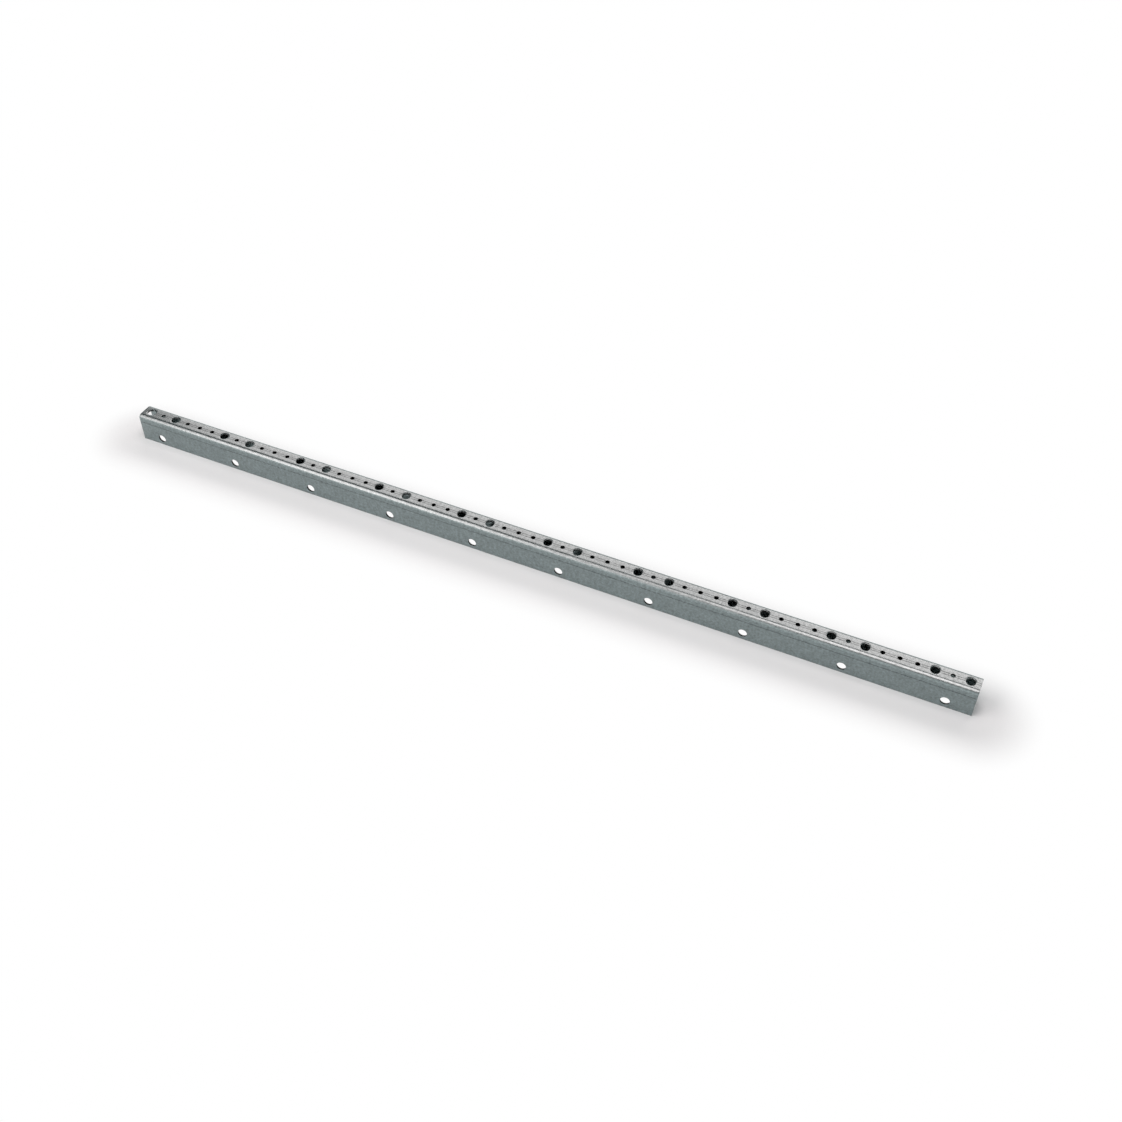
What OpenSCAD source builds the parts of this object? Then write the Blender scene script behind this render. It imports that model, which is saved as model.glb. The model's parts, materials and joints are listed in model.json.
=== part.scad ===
// Vertical mounting rail
// One strip of galvanised sheet steel, punched flat and then folded into a U-channel.
// It lies web up on the cut edges of its two flanges: X runs along the rail, Z points up,
// and the flange with the fixing holes faces -Y. The origin is at the middle of the base.
// All sizes are in millimetres.

/* [Channel] */
// Width of the web, over the outsides of the two flanges
web_width = 16; // [14:0.5:40]
// Height of the flanges, from their cut edges to the top of the web
flange_height = 25; // [20:0.5:60]
// Thickness of the sheet
sheet = 1.5; // [0.8:0.1:2]
// Inside radius of the two bends
bend_radius = 1.5; // [0.5:0.1:2]

/* [Hole spacing] */
// Distance between neighbouring holes along the web
pitch = 12.5; // [10:0.5:30]
// Distance from the outermost hole centres to the cut ends
end_margin = 7.5; // [5:0.5:25]
// Number of pairs of large holes along the rail
pair_count = 10; // [2:1:24]
// Pitches from each pair of large holes to the next
pair_repeat = 6; // [4:1:12]
// Height of the flange holes above the cut edge of the flange
flange_hole_height = 6.25; // [5:0.25:14]

/* [Hole sizes] */
// Diameter of the large holes in the web
large_hole = 7; // [5:0.1:8]
// Diameter of the small holes in the web
small_hole = 3.4; // [2:0.1:5]
// Diameter of the holes in the flange
flange_hole = 7; // [4:0.1:8]

/* [Hidden] */

// A pair of large holes spans two pitches, with a small hole between them
pair_span = 2;
// Number of holes along the web, from the first pair's first hole to the last pair's last
web_hole_count = pair_repeat * (pair_count - 1) + pair_span + 1;
rail_length = pitch * (web_hole_count - 1) + 2 * end_margin;
outer_radius = bend_radius + sheet;
// How far a cut runs past the face that it goes through
overcut = 1;
$fn = 64;

// Place along the rail of the web hole with this number, counted from the -X end
function hole_x(number) = pitch * (number - (web_hole_count - 1) / 2);

// The first and last hole of each pair are large
function is_large(number) = number % pair_repeat == 0 || number % pair_repeat == pair_span;

// Flat outline that stands on the X axis, with its two upper corners rounded
module arch(width, height, radius) {
    translate([-width / 2, 0]) square([width, height - radius]);
    translate([radius - width / 2, 0]) square([width - 2 * radius, height]);
    for (side = [-1, 1])
        translate([side * (width / 2 - radius), height - radius]) circle(r = radius);
}

// Section of the folded strip: the web on top, a flange down each side
module channel_section() {
    difference() {
        arch(web_width, flange_height, outer_radius);
        translate([0, -overcut])
            arch(web_width - 2 * sheet, flange_height - sheet + overcut, bend_radius);
    }
}

// The folded strip before it is punched, laid along X
module channel() {
    rotate([90, 0, 90])
        linear_extrude(height = rail_length, center = true) channel_section();
}

// One row of holes along the middle of the web, large and small at one pitch
module web_holes() {
    for (number = [0 : web_hole_count - 1])
        translate([hole_x(number), 0, flange_height - sheet - overcut])
            cylinder(d = is_large(number) ? large_hole : small_hole, h = sheet + 2 * overcut);
}

// One hole in the -Y flange midway between the large holes of each pair
module flange_holes() {
    for (pair = [0 : pair_count - 1])
        translate([hole_x(pair * pair_repeat + pair_span / 2),
                   sheet + overcut - web_width / 2,
                   flange_hole_height])
            rotate([90, 0, 0]) cylinder(d = flange_hole, h = sheet + 2 * overcut);
}

module mounting_rail() {
    color("silver")
        difference() {
            channel();
            web_holes();
            flange_holes();
        }
}

mounting_rail();
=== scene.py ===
"""Looks of a vertical mounting rail: punched and folded galvanised sheet steel on a pale studio floor."""
import json
import math
from typing import NamedTuple

import bmesh
import bpy
import numpy as np
from mathutils import Matrix, Vector


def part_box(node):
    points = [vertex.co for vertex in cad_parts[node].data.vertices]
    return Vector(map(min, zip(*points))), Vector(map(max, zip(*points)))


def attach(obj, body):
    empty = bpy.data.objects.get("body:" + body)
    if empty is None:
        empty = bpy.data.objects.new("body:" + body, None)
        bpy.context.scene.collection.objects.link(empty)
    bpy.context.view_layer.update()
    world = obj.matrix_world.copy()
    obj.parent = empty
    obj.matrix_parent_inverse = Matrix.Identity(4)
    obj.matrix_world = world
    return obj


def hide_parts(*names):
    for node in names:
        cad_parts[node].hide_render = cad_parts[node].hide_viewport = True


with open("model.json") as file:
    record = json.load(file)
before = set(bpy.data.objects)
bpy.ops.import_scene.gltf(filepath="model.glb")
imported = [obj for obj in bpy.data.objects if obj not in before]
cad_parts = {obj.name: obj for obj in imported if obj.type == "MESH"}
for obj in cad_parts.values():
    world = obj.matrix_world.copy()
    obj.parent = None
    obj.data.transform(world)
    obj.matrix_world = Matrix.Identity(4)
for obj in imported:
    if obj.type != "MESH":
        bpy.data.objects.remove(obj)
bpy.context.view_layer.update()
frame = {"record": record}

MM = 0.001

# Sizes of the rail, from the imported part
NODE = "mounting_rail"
LOW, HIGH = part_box(NODE)
LENGTH, WIDTH, HEIGHT = HIGH - LOW
MOUNTS = {mount["name"]: mount for mount in frame["record"]["mounts"]}


def hole_row(name):
    """Centre, spacing and radius in metres of a stated pair of holes."""
    mount = MOUNTS[name]
    dims = mount["dims"]
    return Vector(mount["pos_m"]), dims["spacing_x_mm"] * MM, dims["hole_r_mm"] * MM


# A pair of large holes spans two pitches, and has a flange hole below its middle
PAIR_PITCHES = 2
END_PAIR, PAIR_SPAN, LARGE_RADIUS = hole_row("web_large_pair_minus_x_end")
SMALL_RADIUS = hole_row("web_small_holes_middle")[2]
FLANGE_HOLE, REPEAT_SPAN, FLANGE_RADIUS = hole_row("flange_holes_middle")
PITCH = PAIR_SPAN / PAIR_PITCHES
REPEAT = round(REPEAT_SPAN / PITCH)
FIRST_HOLE_X = END_PAIR.x - PAIR_SPAN / 2
HOLE_COUNT = round(-2 * FIRST_HOLE_X / PITCH) + 1
ABOVE_FLANGE_HOLE = range(PAIR_PITCHES // 2, HOLE_COUNT, REPEAT)

# Sheet and bends, and how far the sheet eases into a bend on each side of the bend's ends
SHEET = 1.5 * MM
BEND_RADIUS = 1.5 * MM
OUTER_RADIUS = BEND_RADIUS + SHEET
BEND_EASE = 0.85 * MM

# Finishes of the mesh's faces: zinc-coated sheet, sheared edge, and a torn edge made nearly black, partly
# the torn steel's own dullness and partly painted shade in the hole walls
PLAIN, CUT, TORN_AND_SHADE = range(3)


class Edge(NamedTuple):
    """A sheared or punched edge, with the dish that the tool drew in the sheet before it cut."""
    dish_width: float
    dish_depth: float
    corner_radius: float
    exit_gap: float  # how far the cut stands back where the tool leaves the sheet
    corner_finish: int
    wall_finish: int


LARGE_EDGE = Edge(0.95 * MM, 0.12 * MM, 0.12 * MM, 0.10 * MM, PLAIN, CUT)
# Small holes and flange holes take the torn finish, nearly black with painted shade in their walls
SMALL_EDGE = Edge(0, 0, 0.12 * MM, 0.10 * MM, TORN_AND_SHADE, TORN_AND_SHADE)
FLANGE_EDGE = Edge(0, 0, 0.10 * MM, 0.10 * MM, PLAIN, TORN_AND_SHADE)
OUTER_EDGE = Edge(0, 0, 0.15 * MM, 0.06 * MM, PLAIN, CUT)

# Power by which a dish falls toward its cut, and the share of the sheet that is cut straight
DISH_CURVE = 1.5
CUT_LAND = 0.5

# Fineness of the mesh: steps of a hole's cell, a bend, a flange's rest, a dish, a rolled corner and the
# section, the width of a narrow ring round each hole, and the rings between that and the cell's border
CELL_STEPS = 10
BEND_STEPS = 12
FLANGE_STEPS = 3
DISH_STEPS = 4
CORNER_STEPS = 4
SECTION_STEPS = 4000
SUPPORT = 0.15 * MM
MID_RINGS = (0.75, 0.35)

# Edges of the mesh that turn by more than this, in degrees, stay sharp
SHARP_ANGLE = 35

# Each point's place on the flat strip, in millimetres, kept with the mesh for the materials
SHEET_PLACE = "sheet_mm"

# Folding marks on the outer face, by their distance from the strip's cut edge or its middle line, and the
# depth at which they have faded
FLANGE_MARK = 18.3 * MM
FLANGE_MARK_WIDTH = 0.7 * MM
WEB_MARK = 0.95 * MM
WEB_MARK_WIDTH = 0.4 * MM
WEB_BAND = 1.1 * MM
WEB_BAND_EDGE = 0.8 * MM
MARK_DEPTH = 0.3 * MM

# Width over which the finish changes between a bend and the flat sheet
BEND_EDGE = 0.7 * MM

# Noise on the sheet: stretch along, across and into it, patches to a millimetre, and detail
GRAIN = ((1.0, 1.0, 1.0), 0.5, 3.0)
SPANGLE = ((1.0, 0.35, 1.0), 0.4, 2.0)
CLOUD = ((0.5, 1.0, 1.0), 0.12, 2.0)
ROLLING = ((0.04, 1.0, 1.0), 2.0, 3.0)
SPECKS = ((0.55, 1.0, 1.0), 1.4, 2.0)
WEAR = ((1.0, 0.3, 1.0), 0.45, 2.0)
SCORES = ((1.0, 1.0, 0.08), 3.5, 3.0)
TEAR = ((1.0, 1.0, 1.0), 2.2, 3.0)

# The web's marks are worn where the wear is low: the range of the wear, and the least that stays
WEAR_RANGE = (-0.14, 0.1)
WEAR_LEAST = 0.55

# Zinc-coated sheet, and how much its patterns and marks lighten, roughen and raise it
STEEL_COLOUR = (0.256, 0.303, 0.305)
STEEL_ROUGHNESS = 0.22
STEEL_SHADE = {"grain": 0.9, "spangle": 0.5, "cloud": 0.2, "rolling": 0.12, "specks": 0.5,
               "web_specks": 0.6, "web_mark": -0.7, "web_band": -0.08, "flange_mark": -0.45}
STEEL_ROUGHEN = {"cloud": 0.08, "rolling": 0.06, "grain": 0.1, "web_mark": 0.06, "flange_mark": 0.06,
                 "bend": 0.14}
STEEL_RAISE = {"grain": 0.5, "spangle": 0.3, "rolling": 0.3, "web_mark": -0.6, "flange_mark": -0.6}
STEEL_RELIEF = 0.003 * MM

# Cut edges: the depth over which the scored land turns torn, how far that wanders, and the same weights
CUT_COLOUR = (0.22, 0.24, 0.24)
CUT_ROUGHNESS = 0.5
# The torn finish of the small holes and flange holes: a dull torn edge, darkened nearly to black as painted
# shade in the hole walls
TORN_AND_SHADE_COLOUR = (0.016, 0.017, 0.017)
TORN_ROUGHNESS = 0.35
TEAR_DEPTH = (0.65 * MM, 0.85 * MM)
TEAR_WANDER = 0.5 * MM
CUT_SHADE = {"scores": 0.5, "torn": -0.35, "tear": 0.3}
CUT_ROUGHEN = {"torn": 0.2, "scores": 0.2}
CUT_RAISE = {"torn_tear": 1.0, "scores": 0.5}
CUT_RELIEF = 0.015 * MM

# Floor: a round cove, matt near the rail and plain white to the eye farther off. The two distances between
# which it turns white are taken from a line along the middle of the rail's shadow
FLOOR_COLOUR = (0.70, 0.79, 0.80, 1)
FLOOR_ROUGHNESS = 0.9
FLOOR_REACH = 4.0
FLOOR_SIDES = 64
COVE_RADIUS = 0.8
COVE_STEPS = 8
BACKDROP_HEIGHT = 1.75
FLOOR_WHITE = (0.014, 0.052)
SHADOW_MIDDLE = -0.006

# Painted pools of light on the floor inside the channel: their white starts below any distance, so they are
# all white
SPOT_WHITE = (-1.0, -0.5)
SPOT_POINTS = 32
SPOT_LIFT = 0.05 * MM

# Lights: two panels behind the rail, and softboxes above it and to the front left
ROOM_COLOUR = (0.108, 0.133, 0.135, 1)
LAMP_COLOUR = (1, 0.83, 0.82)
BACK_DISTANCE = 1.5
BACK_RISE = (34.0, 51.3)
BACK_REACH = (-1.42, 0.0, 0.9)
BACK_LEVEL = (2.3, 2.58)
TOP_PLACE = (0.26, -0.27, 1.62)
TOP_SIZE = (0.78, 1.6)
TOP_WAY = (1, 0.03, 0)
TOP_LEVEL = 4.45
LEFT_PLACE = (-1.166, -1.315, 1.41)
LEFT_TARGET = (-0.54, 0, 0)
LEFT_SIZE = (1.12, 2.63)
LEFT_LEVEL = 4.05

# Camera of the photograph
CAMERA_PLACE = (0.33952, -0.65159, 0.71643)
CAMERA_AZIMUTH = 24.959
CAMERA_ELEVATION = 44.515
CAMERA_ROLL = 0.307
CAMERA_LENS = 41.835
CAMERA_NEAR = 0.01
SENSOR = 36.0


# The folded sheet

FLANGE_FLAT = HEIGHT - OUTER_RADIUS
BEND_ARC = OUTER_RADIUS * math.pi / 2
WEB_FLAT = WIDTH - 2 * OUTER_RADIUS
WEB_START = FLANGE_FLAT + BEND_ARC
WEB_END = WEB_START + WEB_FLAT
FAR_START = WEB_END + BEND_ARC
STRIP_WIDTH = FAR_START + FLANGE_FLAT
STRIP_MIDDLE = STRIP_WIDTH / 2


def running_sum(values, step):
    """Integral from the first value to each value, by trapeziums."""
    return np.concatenate([[0], np.cumsum(values[1:] + values[:-1])]) * step / 2


def folded_section():
    """Turn and place of the outer face across the strip, which eases into and out of each bend."""
    across, step = np.linspace(0, STRIP_WIDTH, SECTION_STEPS + 1, retstep=True)
    curve = np.zeros(len(across))
    for start, end in ((FLANGE_FLAT, WEB_START), (WEB_END, FAR_START)):
        bent = [np.clip((across - edge) / (2 * BEND_EASE) + 0.5, 0, 1) for edge in (start, end)]
        curve += (bent[0] - bent[1]) / OUTER_RADIUS
    turn = running_sum(curve, step)
    y = running_sum(np.sin(turn), step)
    z = running_sum(np.cos(turn), step)
    return across, turn, (y / y[-1] - 0.5) * WIDTH, z / z.max() * HEIGHT


SECTION = folded_section()


def fold(x, across, depth):
    """Folded place of points of the flat strip: along it, across it from its -Y edge, and how deep."""
    turn, y, z = (np.interp(across, SECTION[0], values) for values in SECTION[1:])
    return np.stack([x, y + depth * np.cos(turn), z - depth * np.sin(turn)], axis=-1)


def hole_x(number):
    """Place along the rail of a web hole, counted from the -X end."""
    return FIRST_HOLE_X + number * PITCH


def is_large(number):
    """The first and last hole of each pair are large."""
    return number % REPEAT in (0, PAIR_PITCHES)


def grid_lines():
    """Grid lines along and across the flat strip, and the first line of the web's cells across it."""
    first_cell = hole_x(0) - PITCH / 2
    cells = np.linspace(first_cell, first_cell + HOLE_COUNT * PITCH, HOLE_COUNT * CELL_STEPS + 1)
    margin = OUTER_EDGE.corner_radius
    end = LENGTH / 2 - margin
    along = np.concatenate([[-end], cells, [end]])
    cell_top = 2 * FLANGE_HOLE.z
    bend_start = FLANGE_FLAT - BEND_EASE
    bend_end = FAR_START + BEND_EASE
    near = np.concatenate([np.linspace(margin, cell_top, CELL_STEPS + 1),
                           np.linspace(cell_top, bend_start, FLANGE_STEPS + 1)[1:],
                           np.linspace(bend_start, WEB_START, BEND_STEPS + 1)[1:]])
    web = np.linspace(WEB_START + SUPPORT, WEB_END - SUPPORT, CELL_STEPS + 1)
    far = np.concatenate([np.linspace(WEB_END, bend_end, BEND_STEPS + 1),
                          np.linspace(bend_end, STRIP_WIDTH - margin, FLANGE_STEPS + 1)[1:]])
    return along, np.concatenate([near, web, far]), len(near)


def hole_cells(web_row):
    """Every hole: its cell's first grid lines, its centre and radius, and the kind of its edge."""
    cells = []
    for number in range(HOLE_COUNT):
        radius, edge = (LARGE_RADIUS, LARGE_EDGE) if is_large(number) else (SMALL_RADIUS, SMALL_EDGE)
        column = 1 + number * CELL_STEPS
        cells.append((column, web_row, (hole_x(number), STRIP_MIDDLE), radius, edge))
        if number in ABOVE_FLANGE_HOLE:
            cells.append((column, 0, (hole_x(number), FLANGE_HOLE.z), FLANGE_RADIUS, FLANGE_EDGE))
    return cells


def cell_border(column, row, rows):
    """Grid points round a cell, counter-clockwise from its first corner."""
    steps = range(CELL_STEPS)
    last_column, last_row = column + CELL_STEPS, row + CELL_STEPS
    border = [(column + n, row) for n in steps]
    border += [(last_column, row + n) for n in steps]
    border += [(last_column - n, last_row) for n in steps]
    border += [(column, last_row - n) for n in steps]
    return np.array([i * rows + j for i, j in border])


def cell_spokes():
    """Ways out from a hole's centre, one for each point of its cell's border."""
    turn = np.radians(-135 + 90 / CELL_STEPS * np.arange(4 * CELL_STEPS))
    return np.stack([np.cos(turn), np.sin(turn)], axis=1)


def ring_quads(outside, inside):
    """Quads between two rings of as many points."""
    return np.stack([outside, np.roll(outside, -1), np.roll(inside, -1), inside], axis=1)


def flat_strip():
    """The punched strip before folding: points, quads, and its cut edges as loops of points.

    Each loop has the way off the sheet at each of its points, and the kind of its edge.
    """
    along, across, web_row = grid_lines()
    columns, rows = len(along), len(across)
    points = [np.stack(np.meshgrid(along, across, indexing="ij"), axis=-1).reshape(-1, 2)]
    solid = np.ones((columns - 1, rows - 1), bool)
    quads, loops = [], []
    count = columns * rows
    spokes = cell_spokes()
    for column, row, centre, radius, edge in hole_cells(web_row):
        solid[column:column + CELL_STEPS, row:row + CELL_STEPS] = False
        border = cell_border(column, row, rows)
        rim = np.array(centre) + (radius + edge.dish_width + edge.corner_radius) * spokes
        support = rim + SUPPORT * spokes
        between = [support + share * (points[0][border] - support) for share in MID_RINGS]
        ring = border
        for inside in (*between, support, rim):
            ids = count + np.arange(len(inside))
            count += len(inside)
            points.append(inside)
            quads.append(ring_quads(ring, ids))
            ring = ids
        loops.append((ring, -spokes, edge))
    i, j = np.nonzero(solid)
    first = i * rows + j
    quads.append(np.stack([first, first + rows, first + rows + 1, first + 1], axis=1))
    loops.append((*outline(columns, rows), OUTER_EDGE))
    return np.concatenate(points), np.concatenate(quads), loops


def outline(columns, rows):
    """The strip's outline on the grid, counter-clockwise, and the way off the sheet at its points."""
    ids, out = [], []
    for i in range(columns):
        ids.append(i * rows)
        out.append(((i == columns - 1) - (i == 0), -1))
    for j in range(1, rows):
        ids.append((columns - 1) * rows + j)
        out.append((1, 1 if j == rows - 1 else 0))
    for i in range(columns - 2, -1, -1):
        ids.append(i * rows + rows - 1)
        out.append((-1 if i == 0 else 0, 1))
    for j in range(rows - 2, 0, -1):
        ids.append(j)
        out.append((-1, 0))
    return np.array(ids), np.array(out, float)


def cut_profile(edge):
    """Rows of (way off the sheet, depth, finish) from the outer face down a cut edge."""
    dish, drop, corner = edge.dish_width, edge.dish_depth, edge.corner_radius
    slope = np.linspace(0, 1, DISH_STEPS + 1)[1:] if dish else []
    rows = [(dish * t, drop * t ** DISH_CURVE, edge.corner_finish) for t in slope]
    for angle in np.linspace(0, math.pi / 2, CORNER_STEPS + 1)[1:]:
        way = dish + corner * math.sin(angle)
        depth = drop + corner * (1 - math.cos(angle))
        rows.append((way, depth, edge.corner_finish))
    rows.append((dish + corner, CUT_LAND * SHEET, edge.wall_finish))
    return rows


def punched_channel():
    """The rail as one closed mesh with rolled edges, each face with the number of its finish."""
    flat, quads, loops = flat_strip()
    # Grid points inside the holes' cells are left out
    used = np.unique(quads)
    renumber = np.full(len(flat), -1)
    renumber[used] = np.arange(len(used))
    flat, quads = flat[used], renumber[quads]
    loops = [(renumber[ids], out, edge) for ids, out, edge in loops]

    inner = flat.copy()
    for ids, out, edge in loops:
        inner[ids] += out * (edge.dish_width + edge.corner_radius - edge.exit_gap)
    sheet = [np.c_[flat, np.zeros(len(flat))], np.c_[inner, np.full(len(inner), SHEET)]]
    faces = [quads, quads[:, ::-1] + len(flat)]
    finishes = [np.full(2 * len(quads), PLAIN)]
    count = 2 * len(flat)
    for ids, out, edge in loops:
        ring = ids
        for way, depth, finish in cut_profile(edge):
            sheet.append(np.c_[flat[ids] + out * way, np.full(len(ids), depth)])
            fresh = count + np.arange(len(ids))
            count += len(ids)
            faces.append(ring_quads(ring, fresh))
            finishes.append(np.full(len(ids), finish))
            ring = fresh
        faces.append(ring_quads(ring, ids + len(flat)))
        finishes.append(np.full(len(ids), edge.wall_finish))
    return new_mesh("punched_channel", *(np.concatenate(part) for part in (sheet, faces, finishes)))


def new_mesh(name, sheet, faces, finishes):
    """Mesh object of the folded sheet, which keeps each point's place on the flat strip."""
    mesh = bpy.data.meshes.new(name)
    mesh.from_pydata(fold(sheet[:, 0], sheet[:, 1], sheet[:, 2]).tolist(), [], faces.tolist())
    place = mesh.attributes.new(SHEET_PLACE, "FLOAT_VECTOR", "POINT")
    place.data.foreach_set("vector", (sheet / MM).astype(np.float32).ravel())
    mesh.polygons.foreach_set("material_index", finishes)
    edit = bmesh.new()
    edit.from_mesh(mesh)
    bmesh.ops.recalc_face_normals(edit, faces=edit.faces)
    edit.to_mesh(mesh)
    edit.free()
    mesh.shade_smooth()
    mesh.set_sharp_from_angle(angle=math.radians(SHARP_ANGLE))
    piece = bpy.data.objects.new(name, mesh)
    bpy.context.scene.collection.objects.link(piece)
    return piece


# Materials

class Graph:
    """Short way to add nodes to a material and join them."""

    def __init__(self, name):
        self.material = bpy.data.materials.new(name)
        self.material.use_nodes = True
        self.tree = self.material.node_tree
        self.shader = self.tree.nodes["Principled BSDF"]

    def put(self, socket, value):
        """Link a node's output to a socket, or write a plain value on it."""
        if isinstance(value, bpy.types.NodeSocket):
            self.tree.links.new(value, socket)
        else:
            socket.default_value = value

    def add(self, kind, **inputs):
        """New node with its inputs set by name, spaces written as underscores."""
        node = self.tree.nodes.new(kind)
        for name, value in inputs.items():
            self.put(node.inputs[name.replace("_", " ")], value)
        return node

    def math(self, operation, *values):
        node = self.tree.nodes.new("ShaderNodeMath")
        node.operation = operation
        for socket, value in zip(node.inputs, values):
            self.put(socket, value)
        return node.outputs[0]

    def product(self, first, *others):
        for other in others:
            first = self.math("MULTIPLY", first, other)
        return first

    def weighted(self, start, weights, values):
        """start plus each named value times its weight."""
        total = start
        for name, weight in weights.items():
            total = self.math("MULTIPLY_ADD", values[name], weight, total)
        return total

    def noise(self, vector, stretch, scale, detail):
        """Noise about zero, from -0.5 to 0.5."""
        stretched = self.tree.nodes.new("ShaderNodeVectorMath")
        stretched.operation = "MULTIPLY"
        self.put(stretched.inputs[0], vector)
        self.put(stretched.inputs[1], stretch)
        node = self.add("ShaderNodeTexNoise", Vector=stretched.outputs[0], Scale=scale, Detail=detail)
        return self.math("SUBTRACT", node.outputs["Fac"], 0.5)

    def ramp(self, value, start, end, low=0.0, high=1.0):
        """Smooth step of value from low at start to high at end."""
        node = self.add("ShaderNodeMapRange")
        node.interpolation_type = "SMOOTHSTEP"
        for name, item in (("Value", value), ("From Min", start), ("From Max", end),
                           ("To Min", low), ("To Max", high)):
            self.put(node.inputs[name], item)
        return node.outputs["Result"]

    def stripe(self, value, centre, half, edge):
        """1 where a value in millimetres lies within half of a centre, falling to 0 over a further edge."""
        off = self.math("ABSOLUTE", self.math("SUBTRACT", value, centre / MM))
        return self.ramp(off, (half + edge) / MM, half / MM)

    def tint(self, colour, factor):
        """A colour made lighter or darker by a factor."""
        node = self.tree.nodes.new("ShaderNodeVectorMath")
        node.operation = "SCALE"
        self.put(node.inputs[0], colour)
        self.put(node.inputs["Scale"], factor)
        return node.outputs[0]

    def sheet_place(self):
        """Place on the flat strip in millimetres: the vector, how far across, and how deep."""
        place = self.add("ShaderNodeAttribute")
        place.attribute_name = SHEET_PLACE
        vector = place.outputs["Vector"]
        parts = self.add("ShaderNodeSeparateXYZ", Vector=vector).outputs
        return vector, parts["Y"], parts["Z"]

    def metal(self, colour, roughness, height, relief):
        """The material as bare metal, with bumps as high as relief where height is 1."""
        bump = self.add("ShaderNodeBump", Height=height, Strength=1.0, Distance=relief)
        self.put(self.shader.inputs["Base Color"], colour)
        self.put(self.shader.inputs["Roughness"], roughness)
        self.put(self.shader.inputs["Normal"], bump.outputs["Normal"])
        self.shader.inputs["Metallic"].default_value = 1
        return self.material


def galvanised():
    """Zinc-coated sheet: fine grain, faint rolling lines, and the marks that the folding tools left."""
    graph = Graph("galvanised_sheet")
    sheet, across, depth = graph.sheet_place()
    outer = graph.ramp(depth, MARK_DEPTH / MM, 0.0)
    from_middle = graph.math("ABSOLUTE", graph.math("SUBTRACT", across, STRIP_MIDDLE / MM))
    web = graph.stripe(from_middle, 0, WEB_FLAT / 2, BEND_EDGE)
    bend = graph.stripe(from_middle, (WEB_FLAT + BEND_ARC) / 2, BEND_ARC / 2 - BEND_EDGE, BEND_EDGE)
    web_mark = graph.stripe(from_middle, WEB_MARK, 0, WEB_MARK_WIDTH)
    web_band = graph.stripe(from_middle, 0, WEB_BAND, WEB_BAND_EDGE)
    flange_mark = graph.stripe(from_middle, STRIP_MIDDLE - FLANGE_MARK, 0, FLANGE_MARK_WIDTH)
    worn = graph.ramp(graph.noise(sheet, *WEAR), *WEAR_RANGE, WEAR_LEAST, 1.0)
    specks = graph.noise(sheet, *SPECKS)
    look = {"grain": graph.noise(sheet, *GRAIN),
            "spangle": graph.noise(sheet, *SPANGLE),
            "cloud": graph.noise(sheet, *CLOUD),
            "rolling": graph.noise(sheet, *ROLLING),
            "specks": specks,
            "web_specks": graph.product(specks, web),
            "web_mark": graph.product(worn, web_mark, outer),
            "web_band": graph.product(web_band, outer),
            "flange_mark": graph.product(flange_mark, outer),
            "bend": bend}
    shade = graph.weighted(1.0, STEEL_SHADE, look)
    roughness = graph.weighted(STEEL_ROUGHNESS, STEEL_ROUGHEN, look)
    height = graph.weighted(0.0, STEEL_RAISE, look)
    return graph.metal(graph.tint(STEEL_COLOUR, shade), roughness, height, STEEL_RELIEF)


def cut_steel(name, colour, base_roughness):
    """Punched and sheared edges: a scored land near the outer face, then a duller torn zone."""
    graph = Graph(name)
    sheet, _, depth = graph.sheet_place()
    tear = graph.noise(sheet, *TEAR)
    start, end = TEAR_DEPTH
    torn = graph.ramp(graph.math("MULTIPLY_ADD", tear, TEAR_WANDER / MM, depth), start / MM, end / MM)
    look = {"scores": graph.noise(sheet, *SCORES),
            "tear": tear,
            "torn": torn,
            "torn_tear": graph.product(tear, torn)}
    shade = graph.weighted(1.0, CUT_SHADE, look)
    roughness = graph.weighted(base_roughness, CUT_ROUGHEN, look)
    height = graph.weighted(0.0, CUT_RAISE, look)
    return graph.metal(graph.tint(colour, shade), roughness, height, CUT_RELIEF)


def pale_floor(name, near, far):
    """Pale matt floor that shows plain white from far off the rail on, and keeps the shadow near it."""
    graph = Graph(name)
    graph.shader.inputs["Base Color"].default_value = FLOOR_COLOUR
    graph.shader.inputs["Roughness"].default_value = FLOOR_ROUGHNESS
    graph.shader.inputs["Specular IOR Level"].default_value = 0
    place = graph.add("ShaderNodeNewGeometry").outputs["Position"]
    parts = graph.add("ShaderNodeSeparateXYZ", Vector=place).outputs
    along = graph.math("ABSOLUTE", parts["X"])
    past_end = graph.math("MAXIMUM", graph.math("SUBTRACT", along, LENGTH / 2), 0.0)
    beside = graph.math("SUBTRACT", parts["Y"], SHADOW_MIDDLE)
    away = graph.math("SQRT", graph.math("ADD", graph.product(past_end, past_end),
                                         graph.product(beside, beside)))
    path = graph.add("ShaderNodeLightPath").outputs
    seen = graph.math("MAXIMUM", path["Is Camera Ray"], path["Is Glossy Ray"])
    seen = graph.math("MAXIMUM", seen, path["Is Transmission Ray"])
    white = graph.add("ShaderNodeEmission", Color=(1, 1, 1, 1), Strength=1.0)
    mix = graph.add("ShaderNodeMixShader", Fac=graph.product(graph.ramp(away, near, far), seen))
    graph.put(mix.inputs[1], graph.shader.outputs[0])
    graph.put(mix.inputs[2], white.outputs[0])
    graph.put(graph.tree.nodes["Material Output"].inputs["Surface"], mix.outputs[0])
    return graph.material


# Stage, lights and camera

def stage_mesh(name, corners, faces, material):
    mesh = bpy.data.meshes.new(name)
    mesh.from_pydata(corners, [], faces)
    mesh.materials.append(material)
    piece = bpy.data.objects.new(name, mesh)
    bpy.context.scene.collection.objects.link(piece)


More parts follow.
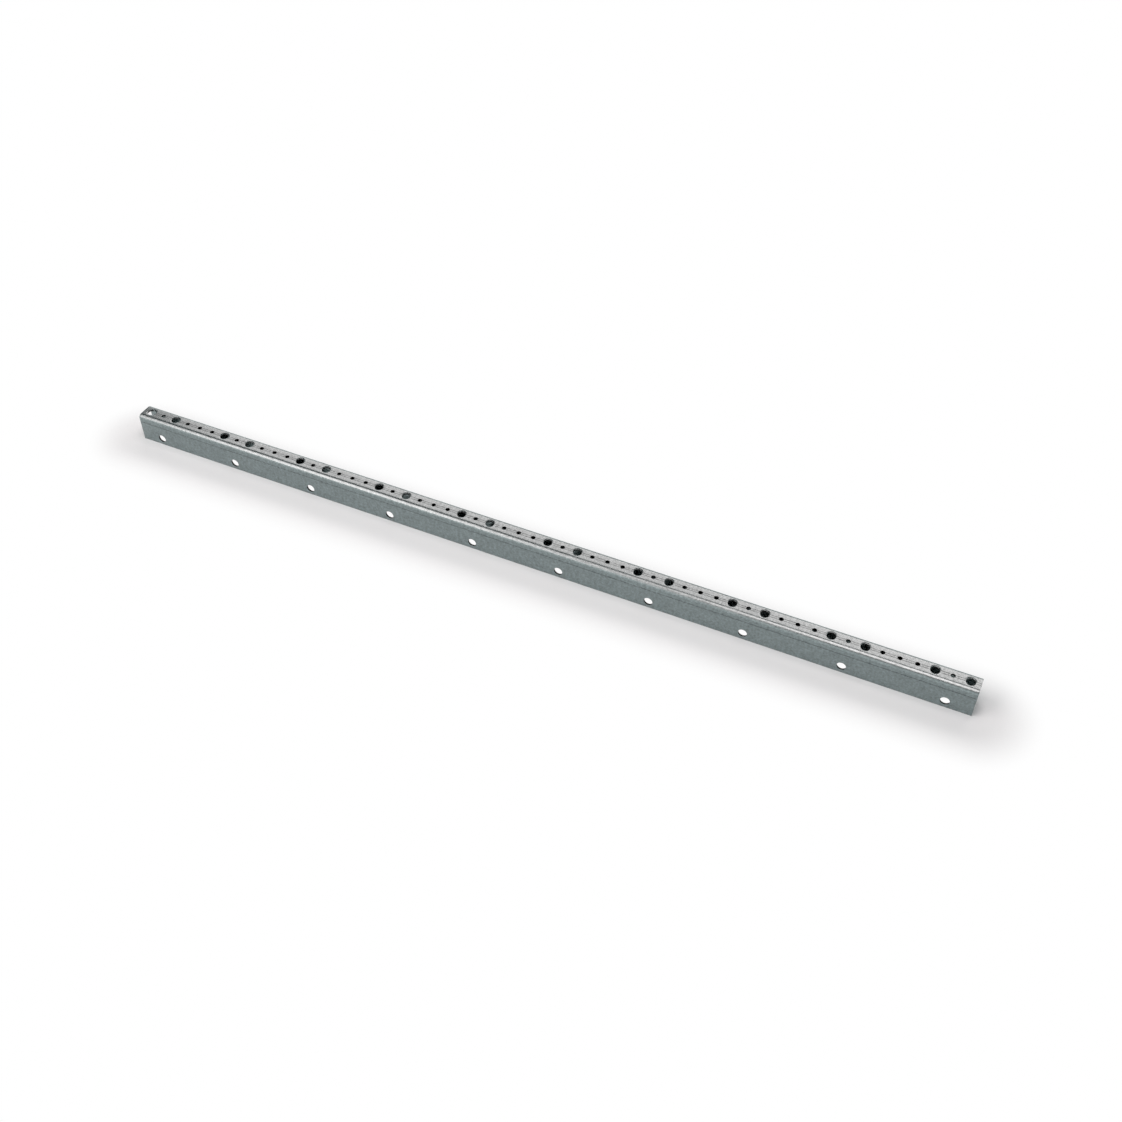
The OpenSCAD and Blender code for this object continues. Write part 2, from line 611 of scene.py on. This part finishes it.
def add_floor():
    """Round floor that curves up into a low backdrop all round."""
    flat = FLOOR_REACH - COVE_RADIUS
    bends = np.linspace(0, math.pi / 2, COVE_STEPS + 1)
    profile = [(flat + COVE_RADIUS * math.sin(a), COVE_RADIUS * (1 - math.cos(a))) for a in bends]
    profile.append((FLOOR_REACH, BACKDROP_HEIGHT))
    turns = 2 * math.pi * np.arange(FLOOR_SIDES) / FLOOR_SIDES
    corners = [(out * math.cos(turn), out * math.sin(turn), LOW.z + rise)
               for out, rise in profile for turn in turns]
    rings = np.arange(len(corners)).reshape(len(profile), FLOOR_SIDES)
    faces = [rings[0].tolist()]
    for lower, upper in zip(rings, rings[1:]):
        faces += ring_quads(lower, upper).tolist()
    stage_mesh("floor", corners, faces, pale_floor("pale_floor", *FLOOR_WHITE))


def add_painted_light_spots():
    """Painted pools of light: white spots on the floor inside the channel, where the flange holes show it
    to the camera, though that floor lies in the rail's shade.
    """
    corners, faces = [], []
    eye = Vector(CAMERA_PLACE)
    for number in ABOVE_FLANGE_HOLE:
        faces.append(range(len(corners), len(corners) + SPOT_POINTS))
        for step in range(SPOT_POINTS):
            turn = 2 * math.pi * step / SPOT_POINTS
            rim = Vector((hole_x(number) + FLANGE_RADIUS * math.cos(turn), LOW.y,
                          FLANGE_HOLE.z + FLANGE_RADIUS * math.sin(turn)))
            corners.append(rim + (rim - eye) * ((rim.z - SPOT_LIFT) / (eye.z - rim.z)))
    stage_mesh("painted_light_spots", corners, faces, pale_floor("painted_light_floor", *SPOT_WHITE))


def softbox(name, place, target, width, height, radiance, way=(1, 0, 0)):
    """Rectangular lamp at place that faces target, with its width along way."""
    lamp = bpy.data.lights.new(name, "AREA")
    lamp.shape = "RECTANGLE"
    lamp.size, lamp.size_y = width, height
    lamp.energy = radiance * math.pi * width * height
    lamp.color = LAMP_COLOUR
    back = (Vector(place) - Vector(target)).normalized()
    side = (Vector(way) - back * back.dot(Vector(way))).normalized()
    up = back.cross(side)
    piece = bpy.data.objects.new(name, lamp)
    turn = Matrix((side, up, back)).transposed().to_4x4()
    piece.matrix_world = Matrix.Translation(place) @ turn
    bpy.context.scene.collection.objects.link(piece)


def back_panels():
    """Two panels side by side behind the rail, tilted to face it, the right one a little brighter."""
    low, high = (math.radians(angle) for angle in BACK_RISE)
    rise = (low + high) / 2
    height = 2 * BACK_DISTANCE * math.tan((high - low) / 2)
    for left, right, level in zip(BACK_REACH, BACK_REACH[1:], BACK_LEVEL):
        x = (left + right) / 2
        place = (x, BACK_DISTANCE * math.cos(rise), BACK_DISTANCE * math.sin(rise))
        softbox("back_panel", place, (x, 0, 0), right - left, height, level)


def add_lights():
    """A dim even room, the panels, and the softboxes."""
    world = bpy.data.worlds.new("soft_room")
    world.use_nodes = True
    background = world.node_tree.nodes["Background"]
    background.inputs["Color"].default_value = ROOM_COLOUR
    background.inputs["Strength"].default_value = 1
    bpy.context.scene.world = world
    back_panels()
    softbox("top_softbox", TOP_PLACE, (TOP_PLACE[0], TOP_PLACE[1], 0), *TOP_SIZE, TOP_LEVEL, TOP_WAY)
    softbox("left_softbox", LEFT_PLACE, LEFT_TARGET, *LEFT_SIZE, LEFT_LEVEL)


def add_camera():
    """Camera of the photograph, turned about Z, tilted down and rolled."""
    data = bpy.data.cameras.new("photo_camera")
    data.lens = CAMERA_LENS
    data.sensor_width = SENSOR
    data.clip_start = CAMERA_NEAR
    piece = bpy.data.objects.new("photo_camera", data)
    turn = Matrix.Rotation(math.radians(CAMERA_AZIMUTH), 4, "Z")
    tilt = Matrix.Rotation(math.radians(90 - CAMERA_ELEVATION), 4, "X")
    roll = Matrix.Rotation(math.radians(CAMERA_ROLL), 4, "Z")
    piece.matrix_world = Matrix.Translation(CAMERA_PLACE) @ turn @ tilt @ roll
    bpy.context.scene.collection.objects.link(piece)
    bpy.context.scene.camera = piece


rail = punched_channel()
rail.data.materials.append(galvanised())
rail.data.materials.append(cut_steel("cut_steel", CUT_COLOUR, CUT_ROUGHNESS))
# Nearly black walls of the small holes and flange holes: torn steel with painted shade
rail.data.materials.append(cut_steel("torn_steel_and_painted_shade", TORN_AND_SHADE_COLOUR, TORN_ROUGHNESS))
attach(rail, "root")
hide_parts(NODE)

add_floor()
# Painted pools of light on the shaded floor inside the channel, seen through the flange holes
add_painted_light_spots()
add_lights()
add_camera()

bpy.context.scene.view_settings.view_transform = "Standard"
